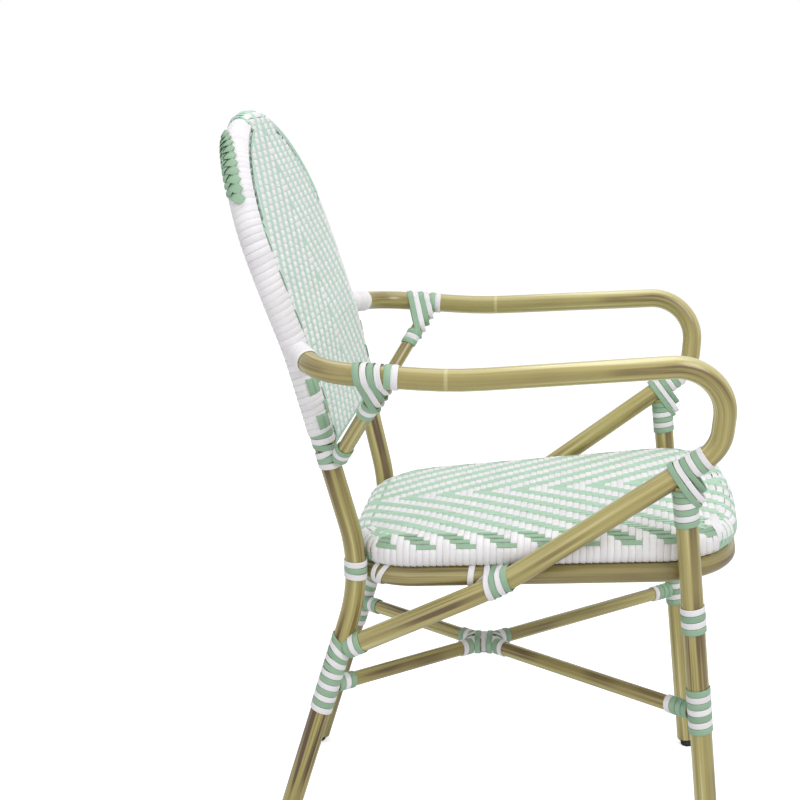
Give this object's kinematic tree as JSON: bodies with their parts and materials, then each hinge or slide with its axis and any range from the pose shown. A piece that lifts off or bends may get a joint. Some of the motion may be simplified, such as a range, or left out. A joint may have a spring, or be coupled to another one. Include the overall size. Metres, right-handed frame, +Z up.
{
  "type": "bistro armchair",
  "caption": "Woven bistro armchair: bent tube frame with a hooped back, looped arms and crossed stretchers, rounded woven seat and strand bindings at the joints.",
  "frame": {"origin": "middle of the footprint's bounding box, on the floor", "axes": "+Z up, -Y the way the sitter faces, +X the sitter's left"},
  "size_m": [0.5474, 0.6292, 0.9201],
  "materials": {
    "bamboo_lacquer": "bamboo-look lacquer, satin, with a streaked grain",
    "strand_white": "flat woven strand, satin",
    "strand_green": "flat woven strand in mint green and white, satin",
    "glide_black": "moulded, matt",
    "screw_zinc": "zinc plated"
  },
  "bodies": {
    "root": {"rear_frame_tube": "bamboo_lacquer", "back_rail_tube": "bamboo_lacquer", "seat_ring_tube": "bamboo_lacquer", "seat_bar_front": "bamboo_lacquer", "seat_bar_rear": "bamboo_lacquer", "stretcher_whole": "bamboo_lacquer", "stretcher_front_half": "bamboo_lacquer", "stretcher_rear_half": "bamboo_lacquer", "arm_tube_right": "bamboo_lacquer", "arm_strut_right": "bamboo_lacquer", "front_leg_right": "bamboo_lacquer", "arm_tube_left": "bamboo_lacquer", "arm_strut_left": "bamboo_lacquer", "front_leg_left": "bamboo_lacquer", "rim_weave": "strand_white", "rail_weave": "strand_white", "ring_binding_right": "strand_white", "arm_root_binding_right": "strand_white", "back_foot_binding_right": "strand_white", "knee_binding_right": "strand_white", "leg_band_right": "strand_white", "ring_binding_left": "strand_white", "arm_root_binding_left": "strand_white", "back_foot_binding_left": "strand_white", "knee_binding_left": "strand_white", "leg_band_left": "strand_white", "back_panel_weave": "strand_green", "seat_weave": "strand_green", "stretcher_lashing": "strand_green", "arm_binding_right": "strand_green", "rear_leg_binding_right": "strand_green", "leg_top_binding_right": "strand_green", "stretcher_binding_right": "strand_green", "arm_binding_left": "strand_green", "rear_leg_binding_left": "strand_green", "leg_top_binding_left": "strand_green", "stretcher_binding_left": "strand_green", "front_glide_right": "glide_black", "rear_glide_right": "glide_black", "front_glide_left": "glide_black", "rear_glide_left": "glide_black", "seat_screw_front_right": "screw_zinc", "seat_screw_rear_right": "screw_zinc", "seat_screw_front_left": "screw_zinc", "seat_screw_rear_left": "screw_zinc"}
  },
  "joints": []
}
